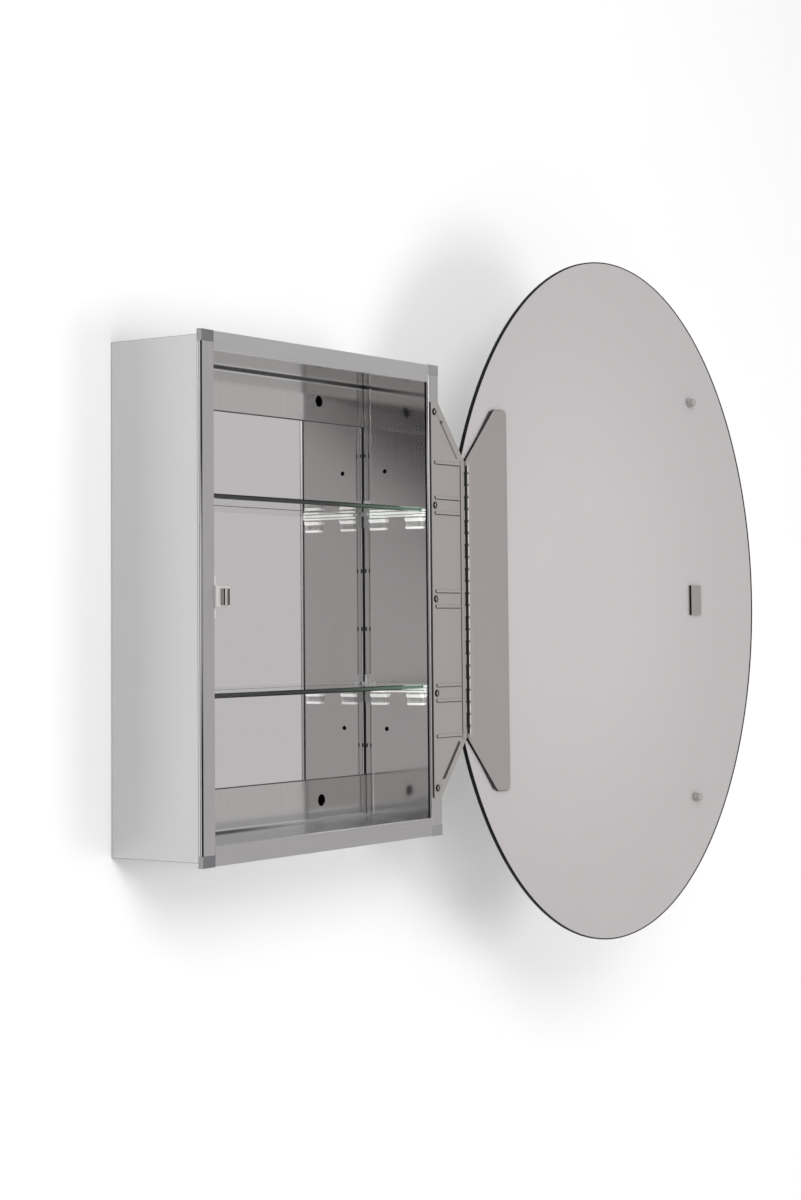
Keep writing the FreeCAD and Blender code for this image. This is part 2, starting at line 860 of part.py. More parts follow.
def build_box():
    right_wall = side_wall()
    write("side_wall_right", right_wall.cut(screw_holes(body_front - overrun, body_front + overrun)))
    write("side_wall_left", flipped(right_wall, "x").cut(catch_screw_holes()))
    write_top_bottom("box_wall", ceiling_wall())
    write_top_bottom("box_cover", cover())
    write_top_bottom("back_rail", back_rail())
    write("back_mirror", back_mirror())
    write("backing_sheet", backing_sheet())
    write_pair("side_mirror", side_mirror())
    tapes = side_tapes()
    write("side_tape_right", *tapes)
    write("side_tape_left", *[flipped(tape, "x") for tape in tapes])


def build_frame():
    stile = frame_stile()
    write("frame_stile_left", flipped(stile, "x"))
    write("frame_stile_right", stile.cut(screw_holes(front - overrun, body_front + overrun)))
    write_top_bottom("frame_rail", frame_rail())
    cap = corner_cap()
    write_pair("corner_cap_top", cap)
    write_pair("corner_cap_bottom", flipped(cap, "z"))


def build_shelves():
    write_pair("shelf_strip", shelf_strip())
    for name, level in zip(("upper", "lower"), shelf_heights):
        write("shelf_" + name, shelf(level))
        write("shelf_clips_" + name, *shelf_clips(level))
        corner = corner_clip(level)
        write("shelf_corner_clips_" + name, corner, flipped(corner, "x"))


def build_catch():
    write("catch_housing", catch_housing())
    write("catch_poles", *catch_poles())
    write("catch_magnet", catch_magnet())
    write("catch_screws", *catch_screws())


def build_hinge():
    write("hinge_bracket", hinge_bracket())
    write("bracket_screws", *bracket_screws())
    write("hinge_leaf_fixed", hinge_leaf(0))
    write("hinge_pin", hinge_pin())


def build_door():
    write("hinge_leaf_door", opened(door_leaf()))
    write("door_plate", opened(door_plate()))
    write("door_plate_pad", opened(plate_pad()))
    write("door_mirror", opened(door_mirror()))
    write("door_bumpers", *[opened(bumper) for bumper in bumpers()])
    write("strike_plate", opened(strike_plate()))
    write("strike_pad", opened(strike_pad()))


os.makedirs("parts", exist_ok=True)
build_box()
build_frame()
build_shelves()
build_catch()
build_hinge()
build_door()
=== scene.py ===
"""Looks of a wall-hung bathroom cabinet with an oval mirror door: finishes, fine pieces, a plain studio."""

import math

import bpy
import numpy as np
from mathutils import Matrix, Vector


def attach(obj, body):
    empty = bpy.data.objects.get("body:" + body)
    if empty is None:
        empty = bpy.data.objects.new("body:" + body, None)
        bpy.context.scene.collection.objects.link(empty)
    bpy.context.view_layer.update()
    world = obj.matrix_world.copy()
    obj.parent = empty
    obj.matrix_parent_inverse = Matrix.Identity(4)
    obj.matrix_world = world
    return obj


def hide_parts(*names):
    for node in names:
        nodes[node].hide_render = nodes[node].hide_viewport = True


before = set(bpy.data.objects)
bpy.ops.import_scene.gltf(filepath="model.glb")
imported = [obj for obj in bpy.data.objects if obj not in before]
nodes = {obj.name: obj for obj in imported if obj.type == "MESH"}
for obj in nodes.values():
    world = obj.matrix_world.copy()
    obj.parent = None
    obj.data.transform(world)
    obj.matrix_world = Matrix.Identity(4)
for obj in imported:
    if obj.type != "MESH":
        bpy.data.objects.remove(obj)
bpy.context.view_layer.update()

MM = 0.001

# Places that several pieces share, in millimetres: x to the right, y into the wall, z up
INSIDE_X = 184.2
BRACKET_FACE = -114.5
PLATE_FACE, GLASS_BACK, GLASS_FRONT = -118.9, -122.5, -127.3
UPPER_SHELF, LOWER_SHELF = 94.05, -96.45
SCREW_PITCH = 101.6
HINGE_HALF, KNUCKLES = 152.4, 23

# The hinge pin, in millimetres, and the turn from the shut door to where it stands
HINGE = np.array([252.6, -116.7, 0.0])
DOOR_OPEN = math.radians(170.0)
DOOR_TURN = np.array([
    [math.cos(DOOR_OPEN), -math.sin(DOOR_OPEN), 0.0],
    [math.sin(DOOR_OPEN), math.cos(DOOR_OPEN), 0.0],
    [0.0, 0.0, 1.0],
])

# The paint of the bracket and of the hinge's leaves, and the metal of the frame's bars
PAINT = (0.275, 0.257, 0.252)
BAR = (0.60, 0.59, 0.60)


class Value:
    """A socket of one material. Sums and products of values add Math nodes."""

    def __init__(self, finish, socket):
        self.finish = finish
        self.socket = socket

    def math(self, operation, *others, first=None):
        given = (self,) + others if first is None else (first, self)
        return self.finish.node("Math", {"operation": operation}, dict(enumerate(given)))

    def __add__(self, other):
        return self.math("ADD", other)

    __radd__ = __add__

    def __sub__(self, other):
        return self.math("SUBTRACT", other)

    def __rsub__(self, other):
        return self.math("SUBTRACT", first=other)

    def __mul__(self, other):
        return self.math("MULTIPLY", other)

    __rmul__ = __mul__

    def __truediv__(self, other):
        return self.math("DIVIDE", other)

    def __lt__(self, other):
        return self.math("LESS_THAN", other)

    def __gt__(self, other):
        return self.math("GREATER_THAN", other)

    def __or__(self, other):
        return self.math("MAXIMUM", other)

    def __abs__(self):
        return self.math("ABSOLUTE")


class Finish:
    """A material or world under construction."""

    def __init__(self, holder):
        holder.use_nodes = True
        self.holder = holder
        self.tree = holder.node_tree
        self.tree.nodes.clear()

    def node(self, kind, settings=None, sockets=None, output=0):
        """Adds one node: settings first, then its sockets get values or links. Gives one of its outputs."""
        made = self.tree.nodes.new("ShaderNode" + kind)
        for name, value in (settings or {}).items():
            setattr(made, name, value)
        for name, value in (sockets or {}).items():
            if isinstance(value, Value):
                self.tree.links.new(value.socket, made.inputs[name])
            else:
                made.inputs[name].default_value = value
        return Value(self, made.outputs[output]) if made.outputs else None

    def place(self):
        """Object coordinates in metres."""
        return self.node("TexCoord", output="Object")

    def spot(self):
        """The three numbers of the place, in millimetres."""
        return self.parts_of(self.scaled(self.place(), (1.0 / MM, 1.0 / MM, 1.0 / MM)))

    def normal(self):
        """The surface's own normal, which turns with the piece."""
        return self.node("TexCoord", output="Normal")

    def facing(self):
        """The three numbers of the normal."""
        return self.parts_of(self.normal())

    def parts_of(self, vector):
        """The three numbers of a vector."""
        split = self.node("SeparateXYZ", {}, {0: vector})
        outputs = split.socket.node.outputs
        return [Value(self, outputs[index]) for index in range(3)]

    def scaled(self, vector, scale):
        return self.node("VectorMath", {"operation": "MULTIPLY"}, {0: vector, 1: scale})

    def dot(self, vector, direction):
        return self.node("VectorMath", {"operation": "DOT_PRODUCT"}, {0: vector, 1: direction}, "Value")

    def distance(self, spot, shares=(1.0, 1.0, 1.0)):
        """Distance from a spot in millimetres, with each axis drawn in by a share."""
        shares = np.array(shares)
        place = self.scaled(self.place(), tuple(shares / MM))
        ends = {0: place, 1: tuple(shares * spot)}
        return self.node("VectorMath", {"operation": "DISTANCE"}, ends, "Value")

    def noise(self, vector, scale, detail=3.0, roughness=0.5):
        sockets = {"Vector": vector, "Scale": scale, "Detail": detail, "Roughness": roughness}
        return self.node("TexNoise", {}, sockets, "Fac")

    def step(self, value, low, high, start=0.0, end=1.0):
        """Smooth change from start to end as a value goes from low to high."""
        settings = {"interpolation_type": "SMOOTHSTEP"}
        return self.node("MapRange", settings, {0: value, 1: low, 2: high, 3: start, 4: end})

    def fall(self, value, low, high):
        """Smooth change from one to zero as a value goes from low to high."""
        return self.step(value, low, high, 1.0, 0.0)

    def mix(self, share, first, second):
        """Colour between two colours."""
        return self.node("Mix", {"data_type": "RGBA"}, {0: share, 6: first, 7: second}, 2)

    def blend(self, share, first, second):
        """Surface between two surfaces."""
        return self.node("MixShader", {}, {0: share, 1: first, 2: second})

    def bump(self, height, distance, strength=1.0):
        return self.node("Bump", {}, {"Height": height, "Distance": distance, "Strength": strength}, "Normal")

    def principled(self, **sockets):
        """A Principled surface. Names of sockets are given with underscores for spaces."""
        named = {name.replace("_", " "): value for name, value in sockets.items()}
        return self.node("BsdfPrincipled", {}, named)

    def end(self, shader, kind="OutputMaterial"):
        self.node(kind, {}, {"Surface": shader})
        return self.holder


def rgb(red, green, blue):
    return (red, green, blue, 1.0)


def grey(level):
    return rgb(level, level, level)


def shade(tint, level):
    return rgb(*(level * part for part in tint))


def new_finish(name):
    return Finish(bpy.data.materials.new(name))


def streaked(finish, grain, fine=900.0, long=14.0):
    """Noise drawn out along one axis."""
    stretch = [fine, fine, fine]
    stretch[grain] = long
    return finish.noise(finish.scaled(finish.place(), stretch), 1.0, 3.0, 0.6)


def satin(finish, tint):
    """Faint clouds, a fine pebble grain and the clouded colour of a moulded or painted surface."""
    place = finish.place()
    clouds = finish.noise(place, 14.0, 4.0, 0.5)
    grain = finish.noise(place, 1600.0, 2.0, 0.5)
    return clouds, grain, finish.mix(clouds, shade(tint, 0.94), rgb(*tint))


def brushed(name, tint, shine, grain, side_tint=None, side_axis=0):
    """Metal rubbed one way: fine streaks in its colour and roughness. Sides across an axis may be darker."""
    finish = new_finish(name)
    streaks = streaked(finish, grain)
    clouds = finish.noise(finish.place(), 9.0, 3.0, 0.5)
    colour = finish.mix(finish.step(streaks, 0.3, 0.7), shade(tint, 0.95), rgb(*tint))
    if side_tint:
        side = finish.step(abs(finish.facing()[side_axis]), 0.3, 0.6)
        colour = finish.mix(side, colour, rgb(*side_tint))
    surface = finish.principled(
        Base_Color=colour,
        Metallic=1.0,
        Roughness=shine + (streaks - 0.5) * 0.08 + (clouds - 0.5) * 0.06,
        Normal=finish.bump(streaks, 0.000004, 0.25),
    )
    return finish.end(surface)


def arris_metal(name, side, depth, half, middle_shade):
    """Satin upright bar with a painted shadow line along its left side, lighter about half way up."""
    finish = new_finish(name)
    streaks = streaked(finish, 2)
    x, y, z = finish.spot()
    fade_reach = (30.0, 150.0)
    # Painted shadow: a dark line along the bar's left side, lighter about half way up.
    line = (x < side) * (abs(y - depth) < half)
    dark = finish.mix(finish.step(abs(z), *fade_reach), shade(BAR, middle_shade), shade(BAR, 0.03))
    front = finish.mix(finish.step(streaks, 0.3, 0.7), shade(BAR, 0.95), rgb(*BAR))
    surface = finish.principled(
        Base_Color=finish.mix(line, front, dark),
        Metallic=1.0,
        Roughness=0.36 + (streaks - 0.5) * 0.08,
        Normal=finish.bump(streaks, 0.000004, 0.25),
    )
    return finish.end(surface)


def sheet_steel(name, tint):
    """Bright sheet steel in the box: nearly a mirror, faintly streaked by rolling, with painted shadow in its
    seams, less of it towards the lower right.
    """
    finish = new_finish(name)
    streaks = streaked(finish, 2, 500.0, 6.0)
    clouds = finish.noise(finish.place(), 7.0, 3.0, 0.5)
    x, y, z = finish.spot()
    behind, seam_edge, fold_edge = (-29.6, -28.8), (232.4, 233.2), (190.9, 191.5)
    rim_edge, rim_end, fade_reach = (230.8, 231.4), 234.5, (-60.0, 100.0)
    back = finish.step(y, *behind)
    lower_right = (z < 0.0) * finish.step(x, *fade_reach, 0.0, 0.7)
    # Painted shadow in the seams, less of it towards the lower right.
    level_seam_shadow = finish.step(abs(z), *seam_edge) * (1.0 - lower_right) * 0.93
    upright_seam_shadow = finish.fall(abs(z), *fold_edge) * 0.97
    seam_shadow = back * (level_seam_shadow | upright_seam_shadow)
    rim = back * finish.step(abs(z), *rim_edge) * (abs(z) < rim_end) * 0.8
    colour = finish.mix(finish.step(streaks, 0.3, 0.7), shade(tint, 0.97), rgb(*tint))
    surface = finish.principled(
        Base_Color=finish.mix(seam_shadow, finish.mix(rim, colour, grey(0.97)), grey(0.03)),
        Metallic=1.0 - seam_shadow * 0.8,
        Roughness=0.10 + (streaks - 0.5) * 0.04 + (clouds - 0.5) * 0.05 + seam_shadow * 0.4,
    )
    return finish.end(surface)


def strip_steel(name, tint):
    """Corner strip: rolled steel with a painted highlight on its edges, painted shade in its grooves and
    slots, and a painted shadow in the gap by the mirror.
    """
    finish = new_finish(name)
    streaks = streaked(finish, 2, 700.0, 8.0)
    face_x, face_y, _ = finish.facing()
    depth = finish.spot()[1]
    front_edge, rolled_edge, gap_edge = -35.0, (-29.7, -29.3), (-28.1, -27.7)
    # Painted highlight on the rolled edges; painted shade in the grooves and slots; painted shadow in the gap
    # by the mirror.
    front = finish.fall(face_y, -0.8, -0.5) * (depth < front_edge)
    rolled_highlight = front | finish.step(depth, *rolled_edge)
    gap_shadow = finish.step(depth, *gap_edge)
    groove_shade = finish.fall(abs(face_x), 0.55, 0.85) * (1.0 - front) | gap_shadow
    steel = finish.mix(rolled_highlight, finish.mix(streaks, shade(tint, 0.9), rgb(*tint)), rgb(0.95, 0.95, 0.94))
    surface = finish.principled(
        Base_Color=finish.mix(groove_shade, steel, grey(0.015)),
        Metallic=1.0 - gap_shadow * 0.8,
        Roughness=0.13 + (streaks - 0.5) * 0.06 + groove_shade * 0.2,
    )
    return finish.end(surface)


def barrel_steel(name, tint, leaf_tint):
    """Piano hinge: paint on its leaves and the barrel's ends, the barrel plated, with painted shade on its
    side towards the box, between its knuckles and on the leaves' edges.
    """
    finish = new_finish(name)
    height = finish.spot()[2]
    bare_reach, barrel_edge = (147.0, 147.8), (3.0, 3.4)
    pitch = 2.0 * HINGE_HALF / KNUCKLES
    bare = finish.fall(abs(height), *bare_reach)
    barrel = bare * finish.fall(finish.distance(HINGE, (1.0, 1.0, 0.0)), *barrel_edge)
    marks = finish.noise(finish.place(), 900.0, 3.0, 0.6)
    # Painted shade on the barrel's side towards the box and between the knuckles, and below, on the leaves'
    # edges.
    box_side_shade = finish.fall(finish.dot(finish.normal(), (0.83, -0.56, 0.0)), 0.16, 0.36)
    knuckle = ((height + HINGE_HALF) / pitch).math("FRACT")
    gap_shadow = finish.step(abs(knuckle - 0.5), 0.36, 0.43)
    metal = finish.mix(box_side_shade | gap_shadow * 0.85, rgb(*tint), shade(tint, 0.02))
    leaf_edge_shade = finish.step(abs(finish.facing()[0]), 0.5, 0.8) * bare * 0.85
    leaf = finish.mix(marks, shade(leaf_tint, 0.92), rgb(*leaf_tint))
    leaf = finish.mix(leaf_edge_shade, leaf, shade(leaf_tint, 0.08))
    surface = finish.principled(
        Base_Color=finish.mix(barrel, leaf, metal),
        Metallic=barrel * 0.35,
        Roughness=0.42 - barrel * 0.14 + (marks - 0.5) * 0.12,
    )
    return finish.end(surface)


def screw_steel(name, axis):
    """Plated screw: bright on its crown, with painted shade in its recess and round its rim, told by the way
    they face.
    """
    finish = new_finish(name)
    # Painted shade: near black wherever the screw does not face along its axis, in its recess and round its
    # rim.
    crown = finish.step(abs(finish.facing()[axis]), 0.92, 0.985)
    marks = finish.noise(finish.place(), 900.0, 3.0, 0.6)
    surface = finish.principled(
        Base_Color=finish.mix(crown, grey(0.012), rgb(0.90, 0.89, 0.87)),
        Metallic=1.0,
        Roughness=0.14 + marks * 0.12,
    )
    return finish.end(surface)


def moulded(name, tint, shine, gloss=0.5, side_tint=None):
    """Moulded plastic: a soft pebble and faint clouds. Its left and right sides may have their own tint."""
    finish = new_finish(name)
    clouds, grain, colour = satin(finish, tint)
    if side_tint:
        side = finish.step(abs(finish.facing()[0]), 0.4, 0.7)
        colour = finish.mix(side, colour, rgb(*side_tint))
    surface = finish.principled(
        Base_Color=colour,
        Roughness=shine + (clouds - 0.5) * 0.10,
        Specular_IOR_Level=gloss,
        Normal=finish.bump(grain, 0.00003, 0.3),
    )
    return finish.end(surface)


def back_paint(name, tint):
    """Sprayed paint on the back of the glass: faint clouds, and painted shade a little darker towards the
    rim.
    """
    finish = new_finish(name)
    place = finish.place()
    clouds = finish.noise(place, 8.0, 4.0, 0.5)
    grain = finish.noise(place, 1400.0, 2.0, 0.5)
    middle = on_open_door(np.array([60.0, GLASS_BACK, 20.0]))
    # Painted shade, a little darker towards the rim.
    rim_shade_reach = (50.0, 340.0)
    rim = finish.step(finish.distance(middle, (1.0, 1.0, 0.8)), *rim_shade_reach)
    paint = finish.mix(clouds, shade(tint, 0.97), rgb(*tint))
    surface = finish.principled(
        Base_Color=finish.mix(rim, paint, shade(tint, 0.87)),
        Roughness=0.5 + (clouds - 0.5) * 0.10,
        Normal=finish.bump(grain, 0.00003, 0.25),
    )
    return finish.end(surface)


def bead_paint(name, tint):
    """Satin paint over pressed beads, with painted shade on the flanks that the light misses.

    The low slanted bead, the start of the high one and the plate's sheared edge are painted dark all over as
    shade.
    """
    finish = new_finish(name)
    clouds, grain, paint = satin(finish, tint)
    normal = finish.normal()
    low_flank = finish.step(finish.dot(normal, (0.5, 0.0, -0.85)), 0.16, 0.42)
    left_flank = finish.step(finish.dot(normal, (-1.0, 0.0, 0.0)), 0.4, 0.75)
    slant_flank = finish.step(finish.dot(normal, (-0.8, 0.0, 0.6)), 0.55, 0.70)
    x, y, z = finish.spot()
    bead_reach, sheared_edge = 194.0, (186.4, 187.0)
    across_x, across_z, slant_line, slant_half = 0.7685, -0.640, 280.9, 1.6
    slant_middle, slant_reach, raised = -175.0, 19.0, -114.7
    high_start, start_radius = (205.5, -115.7, 192.5), 1.9
    # Painted shade on the flanks, the low slanted bead, the high bead's start and the sheared edge.
    flank_shade = (low_flank | left_flank | slant_flank) * (abs(z) < bead_reach)
    low_slant_shade = abs(x * across_x + z * across_z - slant_line) < slant_half
    low_slant_shade = low_slant_shade * (y < raised) * (abs(z - slant_middle) < slant_reach)
    sheared_shade = finish.fall(x, *sheared_edge)
    dark = flank_shade | sheared_shade | low_slant_shade | (finish.distance(high_start) < start_radius)
    surface = finish.principled(
        Base_Color=finish.mix(dark * 0.97, paint, shade(tint, 0.05)),
        Roughness=0.42 + (clouds - 0.5) * 0.10,
        Normal=finish.bump(grain, 0.00003, 0.3),
    )
    return finish.end(surface)


def plate_paint(name, tint):
    """Satin paint over pressed steel, with shallow weld dimples along the hinge."""
    finish = new_finish(name)
    clouds, grain, paint = satin(finish, tint)
    dimple_x, dimple_radius = 234.0, 6.2
    dimple = grain * 0.03
    for height in (-132.0, 0.0, 132.0):
        middle = on_open_door(np.array([dimple_x, PLATE_FACE, height]))
        dimple = dimple - finish.fall(finish.distance(middle), 0.0, dimple_radius)
    surface = finish.principled(
        Base_Color=paint,
        Roughness=0.42 + (clouds - 0.5) * 0.10,
        Normal=finish.bump(dimple, 0.0012, 0.5),
    )
    return finish.end(surface)


def silvered(name, axis, tint):
    """Mirror glass: silvered faces and dark green ground edges, told apart by the way they face."""
    finish = new_finish(name)
    edge = finish.fall(abs(finish.facing()[axis]), 0.6, 0.9)
    haze = finish.noise(finish.place(), 6.0, 4.0, 0.6)
    surface = finish.principled(
        Base_Color=finish.mix(edge, rgb(*tint), rgb(0.02, 0.03, 0.027)),
        Metallic=1.0 - edge,
        Roughness=0.015 + haze * 0.02 + edge * 0.25,
    )
    return finish.end(surface)


def shelf_glass(name):
    """Clear glass with wipe marks: dark green at front and back, lighter towards the right, its ends glowing
    with painted light that stands in for the light the glass carries.
    """
    finish = new_finish(name)
    face_x, _, face_z = finish.facing()
    marks = finish.noise(finish.place(), 30.0, 4.0, 0.6)
    glass = finish.principled(
        Base_Color=rgb(0.915, 0.975, 0.94),
        Roughness=marks * 0.02,
        IOR=1.5,
        Transmission_Weight=1.0,
    )
    lighter_rightward_reach = (-20.0, 190.0)
    end = finish.step(abs(face_x), 0.5, 0.8)
    lighter_rightward = finish.step(finish.spot()[0], *lighter_rightward_reach)
    front = finish.mix(lighter_rightward, rgb(0.022, 0.026, 0.023), rgb(0.085, 0.145, 0.105))
    # Painted light: the ends of the glass glow.
    rim = finish.principled(
        Base_Color=finish.mix(end, front, rgb(0.80, 0.90, 0.86)),
        Roughness=0.30 + marks * 0.1,
        Specular_IOR_Level=0.3,
        Emission_Color=finish.mix(end, grey(0.0), rgb(0.66, 0.72, 0.68)),
        Emission_Strength=1.0,
    )
    return finish.end(finish.blend(finish.step(abs(face_z), 0.55, 0.85), rim, glass))


def milky(name, tint, through, body=1.0):
    """Clear plastic with a milky body: part of the light goes through. A thin body shows less."""
    finish = new_finish(name)
    flow = finish.noise(finish.scaled(finish.place(), (120.0, 120.0, 380.0)), 1.0, 3.0, 0.5)
    surface = finish.principled(
        Base_Color=finish.mix(flow, shade(tint, 0.86), rgb(*tint)),
        Roughness=0.12 + flow * 0.12,
        IOR=1.45,
        Transmission_Weight=through,
        Alpha=body,
    )
    return finish.end(surface)


def clip_plastic(name):
    """Clear clips and rails: on the right side, bands below the shelf painted white and glowing, painted
    light that stands in for highlights; clear elsewhere.
    """
    finish = new_finish(name)
    x, _, z = finish.spot()
    gusset_middle, gusset_edge, foot_edge = -7.9, (1.5, 1.9), (-16.0, -15.2)
    rail_middle, rail_core, rail_end, glow_reach = -1.9, (0.4, 0.8), -4.0, (-50.0, 50.0)
    below = z - LOWER_SHELF - (z > 0.0) * (UPPER_SHELF - LOWER_SHELF)
    gusset = finish.fall(abs(below - gusset_middle), *gusset_edge)
    foot = finish.fall(below, *foot_edge)
    rail = finish.step(abs(below - rail_middle), *rail_core) * (below > rail_end)
    # Painted light: these bands glow white, on the right side only.
    glow_bands = (gusset | foot | rail) * finish.step(x, *glow_reach)
    flow = finish.noise(finish.scaled(finish.place(), (220.0, 220.0, 500.0)), 1.0, 3.0, 0.5)
    clear = finish.principled(
        Base_Color=finish.mix(flow, rgb(0.70, 0.71, 0.70), rgb(0.92, 0.94, 0.93)),
        Roughness=0.06 + flow * 0.08,
        IOR=1.35,
        Alpha=0.42,
    )
    white = finish.principled(
        Base_Color=finish.mix(flow, rgb(0.80, 0.81, 0.80), rgb(0.95, 0.95, 0.94)),
        Roughness=0.25 + flow * 0.1,
        Emission_Color=finish.mix(flow, rgb(0.22, 0.22, 0.21), rgb(0.50, 0.50, 0.49)),
        Emission_Strength=1.0,
    )
    return finish.end(finish.blend(glow_bands, clear, white))


def paint_nodes(material, *names):
    for name in names:
        for slot in nodes[name].material_slots:
            slot.material = material


def dress_frame():
    """Gives each solid its finish: first by what it is made of, then by name where one differs."""
    finishes = {
        "stainless": sheet_steel("bright_sheet_steel", (0.69, 0.68, 0.675)),
        "frame_metal": arris_metal("satin_bar_upright", 185.7, -108.8, 1.4, 0.06),
        "cap_plastic": moulded("grey_cap_plastic", (0.118, 0.118, 0.124), 0.42, side_tint=(0.26, 0.26, 0.27)),
        "mirror_glass": silvered("side_mirror_glass", 0, (0.56, 0.56, 0.56)),
        "clear_glass": shelf_glass("shelf_glass"),
        "clear_plastic": milky("clear_plastic", (0.93, 0.95, 0.95), 0.45),
        "tape": moulded("foam_tape", (0.03, 0.03, 0.03), 0.8),
        "catch_plastic": moulded("pale_grey_plastic", (0.50, 0.485, 0.48), 0.45),
        "magnet": moulded("pale_magnet", (0.80, 0.78, 0.77), 0.5),
        "bright_steel": brushed("plated_steel", (0.57, 0.555, 0.535), 0.32, 2, (0.02, 0.02, 0.02)),
        "hinge_steel": barrel_steel("hinge_steel", (0.80, 0.79, 0.77), PAINT),
        "painted_plate": bead_paint("satin_grey_paint", PAINT),
    }
    for node in nodes.values():
        for slot in node.material_slots:
            slot.material = finishes[slot.material.name.split(".")[0]]
    # The right-hand caps and the top bar get lighter copies of their finish, painted light; the box's ceiling
    # and floor get darker copies of its steel, painted shade.
    lit_cap = moulded("grey_cap_plastic_lit", (0.22, 0.218, 0.222), 0.42)
    strip = strip_steel("strip_steel", (0.60, 0.59, 0.585))
    corner = milky("clear_corner_plastic", (0.90, 0.92, 0.91), 0.0, 0.32)
    poles = brushed("pole_steel", (0.38, 0.365, 0.345), 0.38, 2, (0.03, 0.03, 0.03), 1)
    paint_nodes(arris_metal("satin_bar_upright_left", -201.7, -112.8, 1.0, 0.45), "frame_stile_left")
    paint_nodes(brushed("satin_bar_level_top", (0.675, 0.67, 0.685), 0.36, 0), "frame_rail_top")
    paint_nodes(brushed("satin_bar_level", BAR, 0.36, 0), "frame_rail_bottom")
    paint_nodes(lit_cap, "corner_cap_top_right", "corner_cap_bottom_right")
    paint_nodes(sheet_steel("ceiling_sheet_steel", (0.575, 0.56, 0.565)), "box_wall_top")
    paint_nodes(brushed("satin_floor_steel", (0.45, 0.466, 0.50), 0.19, 0), "box_wall_bottom")
    paint_nodes(strip, "shelf_strip_left", "shelf_strip_right")
    paint_nodes(poles, "catch_poles")
    paint_nodes(corner, "shelf_corner_clips_upper", "shelf_corner_clips_lower")
    paint_nodes(silvered("back_mirror_glass", 1, (0.885, 0.86, 0.872)), "back_mirror")


def on_open_door(points):
    """Points of the shut door in millimetres, turned about the hinge pin to where the door stands."""
    return (points - HINGE) @ DOOR_TURN.T + HINGE


def full_turn(count):
    """Angles once round, evenly apart."""
    return np.linspace(0.0, 2.0 * math.pi, count, endpoint=False)


def skin(rings):
    """Closed skin over rings (ring, place round it, x y z). The first and the last ring are single points."""
    count, around = rings.shape[:2]
    points = np.concatenate([rings[:1, 0], rings[1:-1].reshape(-1, 3), rings[-1:, 0]])
    grid = 1 + np.arange((count - 2) * around).reshape(count - 2, around)
    after = np.roll(grid, -1, axis=1)
    first = np.stack([np.zeros(around, int), grid[0], after[0]], axis=-1)
    quads = np.stack([grid[:-1], grid[1:], after[1:], after[:-1]], axis=-1).reshape(-1, 4)
    last = np.stack([np.full(around, len(points) - 1), after[-1], grid[-1]], axis=-1)
    halves = np.concatenate([first, quads[:, :3], quads[:, [0, 2, 3]], last])
    a, b, c = (points[halves[:, corner]] for corner in range(3))
    if np.sum(a * np.cross(b, c)) < 0.0:
        first, quads, last = first[:, ::-1], quads[:, ::-1], last[:, ::-1]
    return points, [first, quads, last]


def add_piece(name, copies, body, stands_for, materials, bands=None, flat=()):
    """One object of like closed skins, in millimetres. bands gives each strip between rings its material."""
    points, faces, finish_of, smooth = [], [], [], []
    start = 0
    for rings in copies:
        strips = rings.shape[0] - 1
        around = rings.shape[1]
        skin_points, groups = skin(rings)
        points.append(skin_points)
        for group in groups:
            faces.extend((group + start).tolist())
        finish_of.append(np.repeat(np.zeros(strips, int) if bands is None else np.array(bands), around))
        smooth.append(np.repeat(~np.isin(np.arange(strips), flat), around))
        start += len(skin_points)
    mesh = bpy.data.meshes.new(name)
    mesh.from_pydata((np.concatenate(points) * MM).tolist(), [], faces)
    for material in materials:
        mesh.materials.append(material)
    mesh.polygons.foreach_set("material_index", np.concatenate(finish_of).astype(np.int32))
    mesh.polygons.foreach_set("use_smooth", np.concatenate(smooth))
    mesh.update()
    made = bpy.data.objects.new(name, mesh)
    bpy.context.scene.collection.objects.link(made)
    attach(made, body)
    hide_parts(stands_for)
    return made


def oval_door():
    """Oval mirror: an ellipse drawn in by the profile's inset at each depth of the glass.

    The edge of the paint is drawn in further away from the hinge, by a share that grows with the cosine.
    """
    half_x, half_z, arris, bare = 281.7, 399.0, 0.8, 1.6
    middle_x, middle_z = -3.9, 2.4
    profile = np.array([
        (2.0 * arris, GLASS_FRONT), (arris, GLASS_FRONT), (0.3 * arris, GLASS_FRONT + 0.3 * arris),
        (0.0, GLASS_FRONT + arris), (0.0, GLASS_BACK - arris), (0.3 * arris, GLASS_BACK - 0.3 * arris),
        (arris, GLASS_BACK), (2.0 * arris, GLASS_BACK),
    ])
    turn = full_turn(288)
    inset, depth = profile[:, :1], profile[:, 1:]
    x = (half_x - inset) * np.cos(turn)
    z = (half_z - inset) * np.sin(turn)
    x[-1] += 0.5 * bare * (1.0 - np.cos(turn))
    rings = np.stack([x, depth + np.zeros_like(x), z], axis=-1)
    middle = np.zeros((1, len(turn), 3))
    rings = np.concatenate([middle + (0.0, GLASS_FRONT, 0.0), rings, middle + (0.0, GLASS_BACK, 0.0)])
    silver = silvered("door_mirror_glass", 1, (0.88, 0.885, 0.88))
    edge = moulded("ground_glass_edge", (0.006, 0.008, 0.007), 0.4, 0.08)
    paint = back_paint("pale_grey_back_paint", (0.455, 0.434, 0.438))
    copies = [on_open_door(rings + (middle_x, 0.0, middle_z))]
    add_piece("oval_mirror", copies, "door", "door_mirror", [silver, edge, paint],
              bands=[0, 0, 1, 1, 1, 1, 1, 1, 2], flat=(0, 1, 7, 8))


